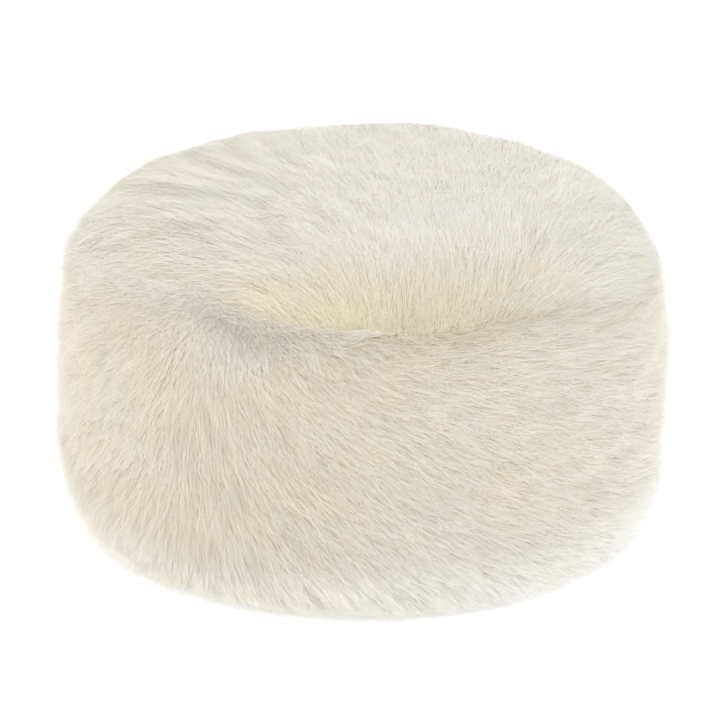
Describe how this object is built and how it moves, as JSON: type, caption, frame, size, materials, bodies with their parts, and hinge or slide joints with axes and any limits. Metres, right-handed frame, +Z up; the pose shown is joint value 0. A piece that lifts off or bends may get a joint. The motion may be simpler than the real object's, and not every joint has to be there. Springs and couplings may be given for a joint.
{
  "type": "fur pillbox hat",
  "caption": "Round fur pillbox hat with a full crown and a straight side band of deep brushed pile, hollow inside on a knitted backing and open at the hem for the head.",
  "frame": {"origin": "on the surface that the hat stands on, under the middle of the head opening", "axes": "+Z up through the crown, +X to the wearer's left, -Y to the front of the hat"},
  "size_m": [0.2494, 0.2696, 0.1417],
  "materials": {
    "knit_backing": "matt cream knitted backing cloth",
    "side_fur": "deep warm ivory pile with soft streaks",
    "crown_fur": "deep off-white pile with soft streaks"
  },
  "bodies": {
    "root": {"band_backing": "knit_backing", "crown_backing": "knit_backing", "band_fur": "side_fur", "crown_fur": "crown_fur"}
  },
  "joints": []
}
